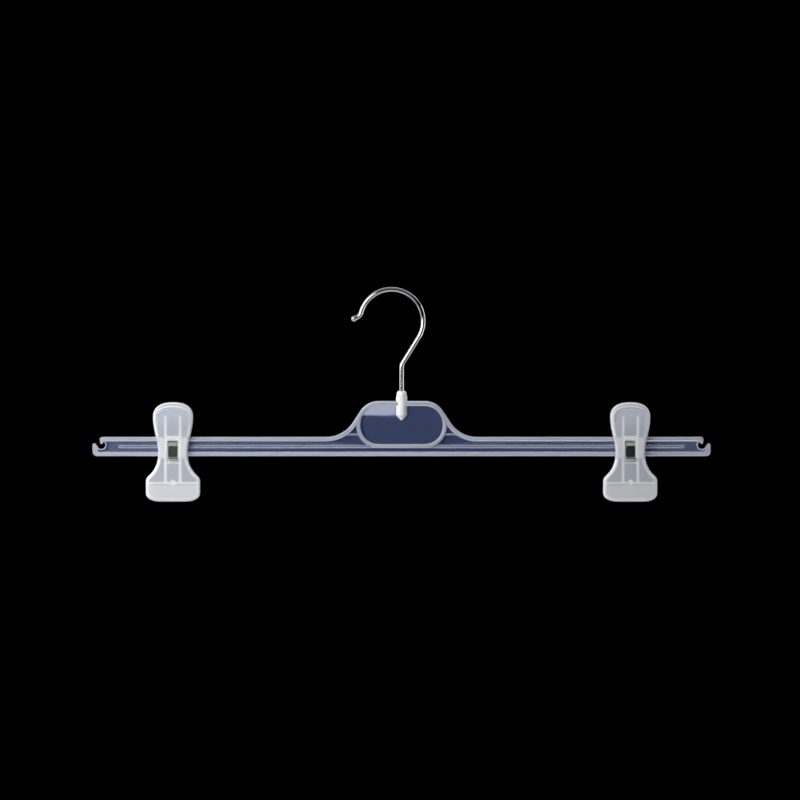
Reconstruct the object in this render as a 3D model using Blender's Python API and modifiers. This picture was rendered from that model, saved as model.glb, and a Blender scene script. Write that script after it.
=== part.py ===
"""A clear plastic skirt hanger with a swivelling wire hook and two sliding spring clips.

Metres, +Z up, the front of the hanger faces -Y and its bar runs along X. The origin is the point
on the inside of the hook, straight above the swivelling stem, where a rail carries the hanger.
"""
import math

import bmesh
import bpy
from mathutils import Matrix

# Fits, cuts and fineness
SEAT_GAP = 0.0003
PRESS_GAP = 0.0002
CUT_OVERRUN = 0.002
MERGE_DISTANCE = 0.000001
ARC_STEP = math.radians(11)
WIRE_ARC_STEP = math.radians(7)
ROUND_SEGMENTS = 32
SMOOTH_ANGLE = math.radians(32)

# Bar of the moulded body, seen from the front
BAR_LENGTH = 0.400
BAR_HEIGHT = 0.0124
BAR_DROP = 0.0992
RAIL_WIDTH = 0.0025
RAIL_DEPTH = 0.0050
WEB_DEPTH = 0.0016
SPINE_INSET = 0.0167
SPINE_WIDTH = 0.0019
SPINE_DEPTH = 0.0032

# Open notch for a garment loop in each end of the bar
NOTCH_INSET = 0.0056
NOTCH_RISE = 0.00097
NOTCH_RADIUS = 0.0026
NOTCH_RIM = 0.00065
NOTCH_LAST_ANGLE = math.radians(125)
LOWER_CORNER_RADIUS = 0.0029
LOWER_LIP_RISE = 0.00194
LOWER_LIP_RADIUS = 0.00115
LOWER_LIP_WIDTH = 0.0033
POCKET_CORNER_RADIUS = 0.0010
UPPER_LIP_INSET = 0.00575
UPPER_LIP_RISE = 0.00235
UPPER_LIP_RADIUS = 0.00075
UPPER_LIP_FIRST_ANGLE = math.radians(200)
UPPER_END_INSET = 0.0046
UPPER_CORNER_RADIUS = 0.0019

# Raised plate in the middle of the body, with an oval ring round a clear panel
WINDOW_WIDTH = 0.0533
WINDOW_HEIGHT = 0.0246
WINDOW_RISE = 0.0139
WINDOW_END_FLAT = 0.0010
RING_WALL = 0.0027
RING_DEPTH = 0.0056
PLATE_TOP_MARGIN = 0.0005
PLATE_SIDE_MARGIN = 0.00015
PLATE_CORNER_RADIUS = 0.0140
SHOULDER_SLOPE = math.radians(57)
SHOULDER_FOOT_RADIUS = 0.0203
BRACE_RISE = 0.0078
BRACE_WIDTH = 0.0013
BRACE_DEPTH = 0.0036

# Bullet-shaped boss of the body and the bush pressed into it
BOSS_DIAMETER = 0.0073
BOSS_STANDOUT = 0.0033
BOSS_LENGTH = 0.0126
BOSS_CONE_LENGTH = 0.0039
BOSS_WALL = 0.00085
BORE_LENGTH = 0.0121
BUSH_LENGTH = 0.0103
BUSH_CONE_HEIGHT = 0.0030
BUSH_RIM_DIAMETER = 0.0066
BUSH_NECK_WALL = 0.0003
STEM_GAP = 0.00025

# Wire hook
WIRE_DIAMETER = 0.0028
HOOK_RADIUS = 0.0205
HOOK_OFFSET = 0.0065
HOOK_NOSE_ANGLE = math.radians(165.5)
HOOK_HEEL_ANGLE = math.radians(31.8)
NECK_BEND_RADIUS = 0.0040
NOSE_BEND_RADIUS = 0.0040
NOSE_BEND_TURN = math.radians(50)
NOSE_LENGTH = 0.0026
BALL_DIAMETER = 0.0035
HEAD_DIAMETER = 0.0042
HEAD_HEIGHT = 0.0012

# Clip, measured from its hinge axis just above the bar
CLIP_INSET = 0.0520
HANDLE_RISE = 0.0194
HANDLE_WIDTH = 0.0256
HANDLE_WIDEST_RISE = 0.0096
HANDLE_ROUNDNESS = 2.4
WAIST_WIDTH = 0.0190
WAIST_DROP = 0.0138
FLARE_DROP = 0.0147
FLARE_RADIUS = 0.0180
JAW_WIDTH = 0.0348
JAW_SHOULDER_RADIUS = 0.0040
JAW_DROP = 0.0448
JAW_CORNER_WIDTH = 0.0084
JAW_CORNER_HEIGHT = 0.0051
HANDLE_TIP_WALL = 0.0034

# Depths of a clip half, from the middle plane of the clip to the front
FACE_DEPTH = 0.0064
HANDLE_SPREAD = 0.0044
SPREAD_START_DROP = 0.0072
GRIP_GAP = 0.0120
SHELL_WALL = 0.0019
SHELL_FACE = 0.0018
SHELL_EDGE_RADIUS = 0.0013
PARTING_DEPTH = 0.0005
RIB_SPACING = 0.0095
RIB_THICKNESS = 0.0016
RIB_RISE = 0.0105
SHELF_DROP = 0.0322
SHELF_THICKNESS = 0.0012
GATE_MARK_DROP = 0.0323
GATE_MARK_DIAMETER = 0.0034
GATE_MARK_DEPTH = 0.0003

# Fulcrum knuckles on the ribs, and the channel that lets the bar through
KNUCKLE_RADIUS = 0.0015
KNUCKLE_LENGTH = 0.0023
KNUCKLE_NECK_WIDTH = 0.0024
FULCRUM_DEPTH = 0.0011
SOCKET_LIP_WALL = 0.0009
CHANNEL_SIDE_GAP = 0.0006
CHANNEL_FLOOR_GAP = 0.0008

# Leaf spring over the bar, through a window in each clip half
STRIP_WIDTH = 0.0060
STRIP_THICKNESS = 0.0005
ARCH_RADIUS = 0.0033
ARCH_RISE = 0.0020
ARCH_LEG_SPREAD = 0.00045
STRIP_BEND_DROP = 0.0047
STRIP_KNEE_DROP = 0.0090
STRIP_BEND_RADIUS = 0.0012
STRIP_FACE_DEPTH = 0.00615
ROLL_DROP = 0.0171
ROLL_RADIUS = 0.0009
ROLL_TURN = math.radians(250)
SLOT_TOP_DROP = 0.0044
SLOT_BOTTOM_DROP = 0.0152
SLOT_CORNER_RADIUS = 0.0005
SEAT_WIDTH = 0.0078
SEAT_HEIGHT = 0.0050
SEAT_DROP = 0.0174
SEAT_CORNER_RADIUS = 0.0018

# Soft pads in the jaws
PAD_FACE_DEPTH = 0.00015
PAD_GROOVES = 4
PAD_GROOVE_WIDTH = 0.0007
PAD_GROOVE_DEPTH = 0.0005

# Places worked out from the sizes above
HALF_LENGTH = BAR_LENGTH / 2
HALF_HEIGHT = BAR_HEIGHT / 2
WIRE_RADIUS = WIRE_DIAMETER / 2
WINDOW_CORNER_RADIUS = (WINDOW_HEIGHT - WINDOW_END_FLAT) / 2
PLATE_RISE = WINDOW_RISE + WINDOW_HEIGHT / 2 + RING_WALL + PLATE_TOP_MARGIN
PLATE_CORNER_OFFSET = WINDOW_WIDTH / 2 - WINDOW_CORNER_RADIUS + PLATE_SIDE_MARGIN
BOSS_TOP_RISE = PLATE_RISE + BOSS_STANDOUT
BOSS_RADIUS = BOSS_DIAMETER / 2
BORE_RADIUS = BOSS_RADIUS - BOSS_WALL
SOCKET_RADIUS = KNUCKLE_RADIUS + SEAT_GAP
LIP_RADIUS = SOCKET_RADIUS + SOCKET_LIP_WALL
HINGE_RISE = HALF_HEIGHT + SEAT_GAP + LIP_RADIUS
CHANNEL_DEPTH = RAIL_DEPTH / 2 + CHANNEL_SIDE_GAP
BUSH_TOP_RISE = BOSS_TOP_RISE + PRESS_GAP
BUSH_END_RISE = BUSH_TOP_RISE - BUSH_LENGTH

# Planes that flat outlines are drawn in: local x and y go to these world axes
FRONT_PLANE = Matrix(((1, 0, 0), (0, 0, -1), (0, 1, 0))).to_4x4()
SIDE_PLANE = Matrix(((0, 0, 1), (1, 0, 0), (0, 1, 0))).to_4x4()


def clear_scene():
    for old in list(bpy.data.objects):
        bpy.data.objects.remove(old)


def new_collection(name):
    collection = bpy.data.collections.new(name)
    bpy.context.scene.collection.children.link(collection)
    return collection


def plastic_or_metal(name, colour, roughness, metallic=0.0, transmission=0.0):
    material = bpy.data.materials.new(name)
    material.use_nodes = True
    shader = material.node_tree.nodes["Principled BSDF"]
    shader.inputs["Base Color"].default_value = (*colour, 1.0)
    shader.inputs["Roughness"].default_value = roughness
    shader.inputs["Metallic"].default_value = metallic
    shader.inputs["Transmission Weight"].default_value = transmission
    return material


def place(mesh, name, collection, matrix=None):
    thing = bpy.data.objects.new(name, mesh)
    collection.objects.link(thing)
    if matrix:
        thing.matrix_world = matrix
    return thing


def evaluated_mesh(thing):
    """The mesh of an object with its modifiers, in world axes."""
    graph = bpy.context.evaluated_depsgraph_get()
    mesh = bpy.data.meshes.new_from_object(thing.evaluated_get(graph))
    mesh.transform(thing.matrix_world)
    return mesh


def weld(mesh):
    work = bmesh.new()
    work.from_mesh(mesh)
    bmesh.ops.remove_doubles(work, verts=work.verts, dist=MERGE_DISTANCE)
    bmesh.ops.recalc_face_normals(work, faces=work.faces)
    work.to_mesh(mesh)
    work.free()


def curve_solid(curve, name, plane, shift=(0, 0, 0)):
    """A curve object made into a welded mesh object among the cutters."""
    guide = place(curve, name + "_curve", CUTTERS, Matrix.Translation(shift) @ plane)
    bpy.context.view_layer.update()
    mesh = evaluated_mesh(guide)
    bpy.data.objects.remove(guide)
    weld(mesh)
    return place(mesh, name, CUTTERS)


def flat_solid(name, loops, depth, plane=FRONT_PLANE, shift=(0, 0, 0)):
    """Closed outlines, the later ones holes, given a thickness of depth about their plane."""
    curve = bpy.data.curves.new(name, "CURVE")
    curve.dimensions = "2D"
    curve.fill_mode = "BOTH"
    curve.extrude = depth / 2
    for loop in loops:
        spline = curve.splines.new("POLY")
        spline.points.add(len(loop) - 1)
        for point, (x, y) in zip(spline.points, loop):
            point.co = (x, y, 0, 1)
        spline.use_cyclic_u = True
    return curve_solid(curve, name, plane, shift)


def wire_solid(name, path, radius):
    """A round wire along points (x, z)."""
    curve = bpy.data.curves.new(name, "CURVE")
    curve.dimensions = "3D"
    curve.bevel_depth = radius
    curve.bevel_resolution = 4
    curve.use_fill_caps = True
    spline = curve.splines.new("POLY")
    spline.points.add(len(path) - 1)
    for point, (x, z) in zip(spline.points, path):
        point.co = (x, 0, z, 1)
    return curve_solid(curve, name, Matrix.Identity(4))


def turned_solid(name, profile, closed=False):
    """A solid of revolution about Z from a profile (radius, height) that runs top to bottom."""
    work = bmesh.new()
    corners = [work.verts.new((radius, 0, height)) for radius, height in profile]
    for start, end in zip(corners, corners[1:]):
        work.edges.new((start, end))
    if closed:
        work.edges.new((corners[-1], corners[0]))
    mesh = bpy.data.meshes.new(name)
    work.to_mesh(mesh)
    work.free()
    thing = place(mesh, name, CUTTERS)
    screw = thing.modifiers.new("turn", "SCREW")
    screw.axis = "Z"
    screw.steps = ROUND_SEGMENTS
    screw.render_steps = ROUND_SEGMENTS
    screw.use_merge_vertices = True
    screw.merge_threshold = MERGE_DISTANCE
    return thing


def box_solid(name, low, high):
    """A box from its lowest to its highest corner."""
    work = bmesh.new()
    bmesh.ops.create_cube(work, size=1)
    for corner in work.verts:
        share = [value + 1 / 2 for value in corner.co]
        corner.co = [a + (b - a) * s for a, b, s in zip(low, high, share)]
    mesh = bpy.data.meshes.new(name)
    work.to_mesh(mesh)
    work.free()
    return place(mesh, name, CUTTERS)


def rod_solid(name, radius, length, centre, turn=None):
    """A cylinder along X, or along another axis that the turn gives, about a centre."""
    work = bmesh.new()
    bmesh.ops.create_cone(
        work, cap_ends=True, segments=ROUND_SEGMENTS, radius1=radius, radius2=radius, depth=length
    )
    mesh = bpy.data.meshes.new(name)
    work.to_mesh(mesh)
    work.free()
    turn = turn or Matrix.Rotation(math.pi / 2, 4, "Y")
    return place(mesh, name, CUTTERS, Matrix.Translation(centre) @ turn)


def ball_solid(name, radius, centre):
    work = bmesh.new()
    bmesh.ops.create_uvsphere(work, u_segments=16, v_segments=10, radius=radius)
    mesh = bpy.data.meshes.new(name)
    work.to_mesh(mesh)
    work.free()
    return place(mesh, name, CUTTERS, Matrix.Translation(centre))


def combine(base, others, operation, solver="EXACT"):
    """Joins the other solids to the base or cuts them from it, and keeps them as guides."""
    for other in others:
        step = base.modifiers.new(other.name, "BOOLEAN")
        step.operation = operation
        step.solver = solver
        step.object = other


def finish(template, name, material, location, rotation=None, parent=None, mesh=None):
    """The finished part: its template's mesh, moved to its own origin, with its material."""
    if mesh is None:
        mesh = evaluated_mesh(template)
        weld(mesh)
        mesh.shade_smooth()
        mesh.set_sharp_from_angle(angle=SMOOTH_ANGLE)
        mesh.materials.clear()
        mesh.materials.append(material)
        mesh.name = name
    part = place(mesh, name, PARTS)
    part.parent = parent
    part.location = location
    if rotation:
        part.rotation_euler = rotation
    return part


def arc(centre, radius, first, last, step=ARC_STEP):
    """Points on a circle from one angle to another, both ends included."""
    count = max(2, math.ceil(abs(last - first) / step))
    angles = [first + (last - first) * i / count for i in range(count + 1)]
    return [(centre[0] + radius * math.cos(a), centre[1] + radius * math.sin(a)) for a in angles]


def mirrored(half):
    """A closed outline from its half on the +X side."""
    return half + [(-x, y) for x, y in reversed(half) if x > MERGE_DISTANCE]


def rounded_rectangle(centre, width, height, radius):
    x, y = width / 2 - radius, height / 2 - radius
    quarter = math.pi / 2
    corners = ((x, -y, -quarter), (x, y, 0), (-x, y, quarter), (-x, -y, 2 * quarter))
    points = []
    for dx, dy, first in corners:
        points += arc((centre[0] + dx, centre[1] + dy), radius, first, first + quarter)
    return points


def shoulder_arcs():
    """Centres of the plate's corner and of the shoulder's foot, from the middle of the bar."""
    corner = (PLATE_CORNER_OFFSET, PLATE_RISE - PLATE_CORNER_RADIUS)
    sine, cosine = math.sin(SHOULDER_SLOPE), math.cos(SHOULDER_SLOPE)
    leave_x = corner[0] + PLATE_CORNER_RADIUS * sine
    leave_z = corner[1] + PLATE_CORNER_RADIUS * cosine
    fall = leave_z - HALF_HEIGHT - SHOULDER_FOOT_RADIUS * (1 - cosine)
    foot_x = leave_x + fall * cosine / sine + SHOULDER_FOOT_RADIUS * sine
    return corner, (foot_x, HALF_HEIGHT + SHOULDER_FOOT_RADIUS)


def shoulder_line(inset):
    """The line up the shoulder to the top of the plate, moved into the plastic by an inset."""
    corner, foot = shoulder_arcs()
    down, flat = -math.pi / 2, math.pi / 2
    rise = arc(foot, SHOULDER_FOOT_RADIUS + inset, down, down - SHOULDER_SLOPE)
    top = arc(corner, PLATE_CORNER_RADIUS - inset, flat - SHOULDER_SLOPE, flat)
    return rise + top


def body_outline():
    """The body seen from the front, from the bottom rail round the notch to the top."""
    notch = (HALF_LENGTH - NOTCH_INSET, NOTCH_RISE)
    lip = (HALF_LENGTH - LOWER_LIP_RADIUS, LOWER_LIP_RISE - LOWER_LIP_RADIUS)
    reach = math.dist(lip, notch)
    lean = math.atan2(notch[1] - lip[1], notch[0] - lip[0])
    leave = lean - math.acos((LOWER_LIP_RADIUS + NOTCH_RADIUS) / reach)
    tip = (HALF_LENGTH - UPPER_LIP_INSET, UPPER_LIP_RISE)
    low = (HALF_LENGTH - LOWER_CORNER_RADIUS, LOWER_CORNER_RADIUS - HALF_HEIGHT)
    high_x = HALF_LENGTH - UPPER_END_INSET - UPPER_CORNER_RADIUS
    high = (high_x, HALF_HEIGHT - UPPER_CORNER_RADIUS)
    half = arc(low, LOWER_CORNER_RADIUS, -math.pi / 2, 0)
    half += arc(lip, LOWER_LIP_RADIUS, 0, leave, 2 * ARC_STEP)
    half += arc(notch, NOTCH_RADIUS, leave - math.pi, NOTCH_LAST_ANGLE - 2 * math.pi)
    half += arc(tip, UPPER_LIP_RADIUS, UPPER_LIP_FIRST_ANGLE, 2 * math.pi, 2 * ARC_STEP)
    half += arc(high, UPPER_CORNER_RADIUS, 0, math.pi / 2)
    half += shoulder_line(0)
    return mirrored(half)


def pocket_outline():
    """The thin-walled middle of the body, inside its rails."""
    notch = (HALF_LENGTH - NOTCH_INSET, NOTCH_RISE)
    rim = NOTCH_RADIUS + NOTCH_RIM
    end_x = HALF_LENGTH - LOWER_LIP_WIDTH
    corner = (end_x - POCKET_CORNER_RADIUS, RAIL_WIDTH - HALF_HEIGHT + POCKET_CORNER_RADIUS)
    half = arc(corner, POCKET_CORNER_RADIUS, -math.pi / 2, 0)
    first = -math.acos((end_x - notch[0]) / rim)
    last = -math.pi - math.asin(min(1, (HALF_HEIGHT - RAIL_WIDTH - notch[1]) / rim))
    half += arc(notch, rim, first, last)
    half += shoulder_line(RAIL_WIDTH)
    return mirrored(half)


def window_outline(wall):
    width, height = WINDOW_WIDTH + 2 * wall, WINDOW_HEIGHT + 2 * wall
    return rounded_rectangle((0, WINDOW_RISE), width, height, WINDOW_CORNER_RADIUS + wall)


def brace_ends(rise):
    """Where a brace at a height above the bar starts in the ring and ends in the shoulder."""
    corner_x = WINDOW_WIDTH / 2 - WINDOW_CORNER_RADIUS
    corner_z = WINDOW_RISE - WINDOW_HEIGHT / 2 + WINDOW_CORNER_RADIUS
    ring = WINDOW_CORNER_RADIUS + RING_WALL / 2
    foot = shoulder_arcs()[1]
    rail = SHOULDER_FOOT_RADIUS + RAIL_WIDTH / 2
    start = corner_x + math.sqrt(ring**2 - (corner_z - rise) ** 2)
    end = foot[0] - math.sqrt(rail**2 - (foot[1] - rise) ** 2)
    return start, end


def boss_profile():
    cone_rise = BOSS_TOP_RISE - BOSS_LENGTH
    tip_rise = cone_rise - BOSS_CONE_LENGTH
    return [(0, BOSS_TOP_RISE), (BOSS_RADIUS, BOSS_TOP_RISE), (BOSS_RADIUS, cone_rise), (0, tip_rise)]


def make_body(material):
    """One moulding: rails round a thin web, a spine, the ring, two braces and the boss. Its facets
    are too long and thin for the exact solver."""
    solver = "MANIFOLD"
    body = flat_solid("frame", [body_outline()], RAIL_DEPTH)
    pocket_depth = (RAIL_DEPTH - WEB_DEPTH) / 2 + CUT_OVERRUN
    pockets = []
    for side in (-1, 1):
        shift = (0, side * (WEB_DEPTH + pocket_depth) / 2, 0)
        pockets.append(flat_solid("pocket", [pocket_outline()], pocket_depth, FRONT_PLANE, shift))
    combine(body, pockets, "DIFFERENCE", solver)
    spine_length = BAR_LENGTH - 2 * SPINE_INSET
    spine_shape = rounded_rectangle((0, 0), spine_length, SPINE_WIDTH, SPINE_WIDTH / 2)
    spine = flat_solid("spine", [spine_shape], SPINE_DEPTH)
    ring = flat_solid("ring", [window_outline(RING_WALL), window_outline(0)], RING_DEPTH)
    start, end = brace_ends(BRACE_RISE)
    braces = []
    for side in (-1, 1):
        ends = sorted((side * start, side * end))
        low = (ends[0], -BRACE_DEPTH / 2, BRACE_RISE - BRACE_WIDTH / 2)
        high = (ends[1], BRACE_DEPTH / 2, BRACE_RISE + BRACE_WIDTH / 2)
        braces.append(box_solid("brace", low, high))
    boss = turned_solid("boss", boss_profile())
    combine(body, [spine, ring, *braces, boss], "UNION", solver)
    length = BORE_LENGTH + CUT_OVERRUN
    centre = (0, 0, BOSS_TOP_RISE + CUT_OVERRUN - length / 2)
    bore = rod_solid("bore", BORE_RADIUS, length, centre, Matrix.Identity(4))
    combine(body, [bore], "DIFFERENCE", solver)
    return finish(body, "hanger_body", material, (0, 0, -BAR_DROP))


def make_bush(material):
    """A sleeve round the stem, with a domed collar on the boss."""
    inner = WIRE_RADIUS + STEM_GAP
    neck = inner + BUSH_NECK_WALL
    rim = BUSH_RIM_DIAMETER / 2
    sleeve = BORE_RADIUS - PRESS_GAP
    quarter = math.pi / 2
    dome = []
    for x, z in arc((0, 0), 1, quarter, 0, 2 * ARC_STEP):
        dome.append((neck + (rim - neck) * x, BUSH_TOP_RISE + BUSH_CONE_HEIGHT * z))
    profile = dome + [(sleeve, BUSH_TOP_RISE), (sleeve, BUSH_END_RISE)]
    profile += [(inner, BUSH_END_RISE), (inner, BUSH_TOP_RISE + BUSH_CONE_HEIGHT)]
    bush = turned_solid("bush", profile, closed=True)
    return finish(bush, "hook_bush", material, (0, 0, -BAR_DROP))


def hook_path():
    """The wire's centre line from its head in the boss, up the neck and round to the nose."""
    inside = HOOK_RADIUS - WIRE_RADIUS
    centre = (-HOOK_OFFSET, -math.sqrt(inside**2 - HOOK_OFFSET**2))
    sine, cosine = math.sin(HOOK_HEEL_ANGLE), math.cos(HOOK_HEEL_ANGLE)
    straight = (centre[0] + HOOK_RADIUS * cosine) / sine
    bend_z = centre[1] - HOOK_RADIUS * sine - straight * cosine
    tangent = NECK_BEND_RADIUS * math.tan(HOOK_HEEL_ANGLE / 2)
    neck = (NECK_BEND_RADIUS, bend_z - tangent)
    path = [(0, BUSH_END_RISE - BAR_DROP - SEAT_GAP - HEAD_HEIGHT / 2)]
    path += arc(neck, NECK_BEND_RADIUS, math.pi, math.pi - HOOK_HEEL_ANGLE, WIRE_ARC_STEP)
    path += arc(centre, HOOK_RADIUS, -HOOK_HEEL_ANGLE, HOOK_NOSE_ANGLE, WIRE_ARC_STEP)
    reach = HOOK_RADIUS + NOSE_BEND_RADIUS
    out = (math.cos(HOOK_NOSE_ANGLE), math.sin(HOOK_NOSE_ANGLE))
    nose = (centre[0] + reach * out[0], centre[1] + reach * out[1])
    first = HOOK_NOSE_ANGLE - math.pi
    last = first - NOSE_BEND_TURN
    bend = arc(nose, NOSE_BEND_RADIUS, first, last, 2 * WIRE_ARC_STEP)
    path += bend[1:]
    end = (bend[-1][0] + NOSE_LENGTH * math.sin(last), bend[-1][1] - NOSE_LENGTH * math.cos(last))
    return path + [end]


def make_hook(material):
    path = hook_path()
    hook = wire_solid("wire", path, WIRE_RADIUS)
    ball = ball_solid("ball", BALL_DIAMETER / 2, (path[-1][0], 0, path[-1][1]))
    centre = (0, 0, path[0][1])
    head = rod_solid("head", HEAD_DIAMETER / 2, HEAD_HEIGHT, centre, Matrix.Identity(4))
    combine(hook, [ball, head], "UNION")
    return finish(hook, "hook", material, (0, 0, 0))


def shell_half_outline():
    """Half of a clip half's outline, (half width, height from the hinge), top to bottom."""
    head, waist, jaw = HANDLE_WIDTH / 2, WAIST_WIDTH / 2, JAW_WIDTH / 2
    quarter = math.pi / 2
    power = 2 / HANDLE_ROUNDNESS
    points = []
    for x, z in arc((0, 0), 1, quarter, 0):
        x, z = max(x, 0) ** power, max(z, 0) ** power
        points.append((head * x, HANDLE_WIDEST_RISE + (HANDLE_RISE - HANDLE_WIDEST_RISE) * z))
    fall = HANDLE_WIDEST_RISE + WAIST_DROP
    steps = 7
    for i in range(1, steps + 1):
        blend = (1 + math.cos(math.pi * i / steps)) / 2
        points.append((waist + (head - waist) * blend, HANDLE_WIDEST_RISE - fall * i / steps))
    turn = math.acos(1 - (jaw - waist) / (FLARE_RADIUS + JAW_SHOULDER_RADIUS))
    flare = (waist + FLARE_RADIUS, -FLARE_DROP)
    points += arc(flare, FLARE_RADIUS, math.pi, math.pi + turn)
    shoulder_drop = FLARE_DROP + (FLARE_RADIUS + JAW_SHOULDER_RADIUS) * math.sin(turn)
    shoulder = (jaw - JAW_SHOULDER_RADIUS, -shoulder_drop)
    points += arc(shoulder, JAW_SHOULDER_RADIUS, turn, 0)[1:]
    for x, z in arc((0, 0), 1, 0, -quarter, 2 * ARC_STEP):
        corner = (jaw - JAW_CORNER_WIDTH * (1 - x), JAW_CORNER_HEIGHT * (1 + z) - JAW_DROP)
        points.append(corner)
    return points


def moved_in(half, inset):
    """A half outline moved inwards, square to itself."""
    full = [(-half[1][0], half[1][1])] + half + [(-half[-1][0], half[-1][1])]
    moved = []
    for before, point, after in zip(full, full[1:], full[2:]):
        run, fall = after[0] - before[0], after[1] - before[1]
        length = math.hypot(run, fall)
        moved.append((point[0] + inset * fall / length, point[1] - inset * run / length))
    return moved


def face_depth(height):
    """How far a clip half's outer face stands off the middle plane at a height."""
    run = max(0, height + SPREAD_START_DROP)
    return FACE_DEPTH + HANDLE_SPREAD * (run / (HANDLE_RISE + SPREAD_START_DROP)) ** 2


def ring_solid(name, rings):
    """A solid through rings of equal count, closed by strips across. Each ring is a half outline
    and a function that gives its depth in front of the middle plane at a height."""
    work = bmesh.new()
    rows = []
    for half, depth in rings:
        right = [work.verts.new((x, -depth(z), z)) for x, z in half]
        left = [work.verts.new((-x, -depth(z), z)) for x, z in half[1:]]
        rows.append((right, [right[0]] + left))
    for (right, left), (next_right, next_left) in zip(rows, rows[1:]):
        loop = right + left[:0:-1]
        next_loop = next_right + next_left[:0:-1]
        for i, corner in enumerate(loop):
            j = (i + 1) % len(loop)
            work.faces.new((corner, loop[j], next_loop[j], next_loop[i]))
    for right, left in (rows[0], rows[-1]):
        for i in range(len(right) - 1):
            corners = [right[i], right[i + 1], left[i + 1], left[i]]
            work.faces.new(corners[:3] if i == 0 else corners)
    bmesh.ops.recalc_face_normals(work, faces=work.faces)
    mesh = bpy.data.meshes.new(name)
    work.to_mesh(mesh)
    work.free()
    return place(mesh, name, CUTTERS)


def shell_blank():
    """The outer form of a clip half, with a rounded outer edge."""
    half = shell_half_outline()
    rings = [(half, lambda z: 0)]
    quarter = math.pi / 2
    for x, z in arc((0, 0), 1, 0, quarter, quarter / 2):
        inset, drop = SHELL_EDGE_RADIUS * (1 - x), SHELL_EDGE_RADIUS * (1 - z)
        rings.append((moved_in(half, inset), lambda z, drop=drop: face_depth(z) - drop))
    return ring_solid("shell_blank", rings)


def shell_cavity():
    """The hollow behind the face, crossed by the two ribs and the shelf over the pad."""
    half = moved_in(shell_half_outline(), SHELL_WALL)
    top = half[0][1]
    squeeze = (HANDLE_RISE - HANDLE_TIP_WALL - HANDLE_WIDEST_RISE) / (top - HANDLE_WIDEST_RISE)
    fitted = []
    for x, z in half:
        over = max(0, z - HANDLE_WIDEST_RISE)
        fitted.append((x, z - over * (1 - squeeze)))
    floor = (fitted, lambda z: face_depth(z) - SHELL_FACE)
    cavity = ring_solid("cavity", [(fitted, lambda z: -CUT_OVERRUN), floor])
    front = -FACE_DEPTH - HANDLE_SPREAD
    walls = []
    for side in (-1, 1):
        middle = side * RIB_SPACING / 2
        low = (middle - RIB_THICKNESS / 2, front, -SHELF_DROP - SHELF_THICKNESS)
        high = (middle + RIB_THICKNESS / 2, 2 * CUT_OVERRUN, RIB_RISE)
        walls.append(box_solid("rib", low, high))
    low = (-JAW_WIDTH / 2, front, -SHELF_DROP - SHELF_THICKNESS)
    walls.append(box_solid("shelf", low, (JAW_WIDTH / 2, 2 * CUT_OVERRUN, -SHELF_DROP)))
    combine(cavity, walls, "DIFFERENCE")
    return cavity


def parting_cutter():
    """What is cut off behind a clip half: the jaw gap, the bar's channel and the grip gap."""
    top, bottom = HANDLE_RISE + CUT_OVERRUN, -JAW_DROP - CUT_OVERRUN
    channel_floor = -HINGE_RISE - HALF_HEIGHT - CHANNEL_FLOOR_GAP
    slope = (GRIP_GAP / 2 - FULCRUM_DEPTH) / (HANDLE_RISE - LIP_RADIUS)
    top_depth = GRIP_GAP / 2 + slope * CUT_OVERRUN
    line = [
        (CUT_OVERRUN, bottom),
        (-PARTING_DEPTH, bottom),
        (-PARTING_DEPTH, channel_floor - CHANNEL_DEPTH + PARTING_DEPTH),
        (-CHANNEL_DEPTH, channel_floor),
        (-CHANNEL_DEPTH, -LIP_RADIUS),
        (-FULCRUM_DEPTH, -LIP_RADIUS),
        (-FULCRUM_DEPTH, LIP_RADIUS),
        (-top_depth, top),
        (CUT_OVERRUN, top),
    ]
    return flat_solid("parting", [line], JAW_WIDTH + 2 * CUT_OVERRUN, SIDE_PLANE)


def knuckle_parts():
    """A round knuckle with its neck on one rib, and the lips of a socket on the other."""
    side = RIB_SPACING / 2
    half = KNUCKLE_LENGTH / 2
    knuckle = rod_solid("knuckle", KNUCKLE_RADIUS, KNUCKLE_LENGTH, (side, 0, 0))
    back = -FULCRUM_DEPTH - RIB_THICKNESS
    neck_low = (side - half, back, -KNUCKLE_NECK_WIDTH / 2)
    neck = box_solid("neck", neck_low, (side + half, 0, KNUCKLE_NECK_WIDTH / 2))
    lips = rod_solid("lips", LIP_RADIUS, KNUCKLE_LENGTH, (-side, 0, 0))
    reach = LIP_RADIUS + CUT_OVERRUN
    face_low = (-side - KNUCKLE_LENGTH, -PARTING_DEPTH, -reach)
    face = box_solid("lip_face", face_low, (-side + KNUCKLE_LENGTH, reach, reach))
    combine(lips, [face], "DIFFERENCE")
    length = KNUCKLE_LENGTH + CUT_OVERRUN
    socket = rod_solid("socket", SOCKET_RADIUS, length, (-side, 0, 0))
    return [knuckle, neck, lips], socket


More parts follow.
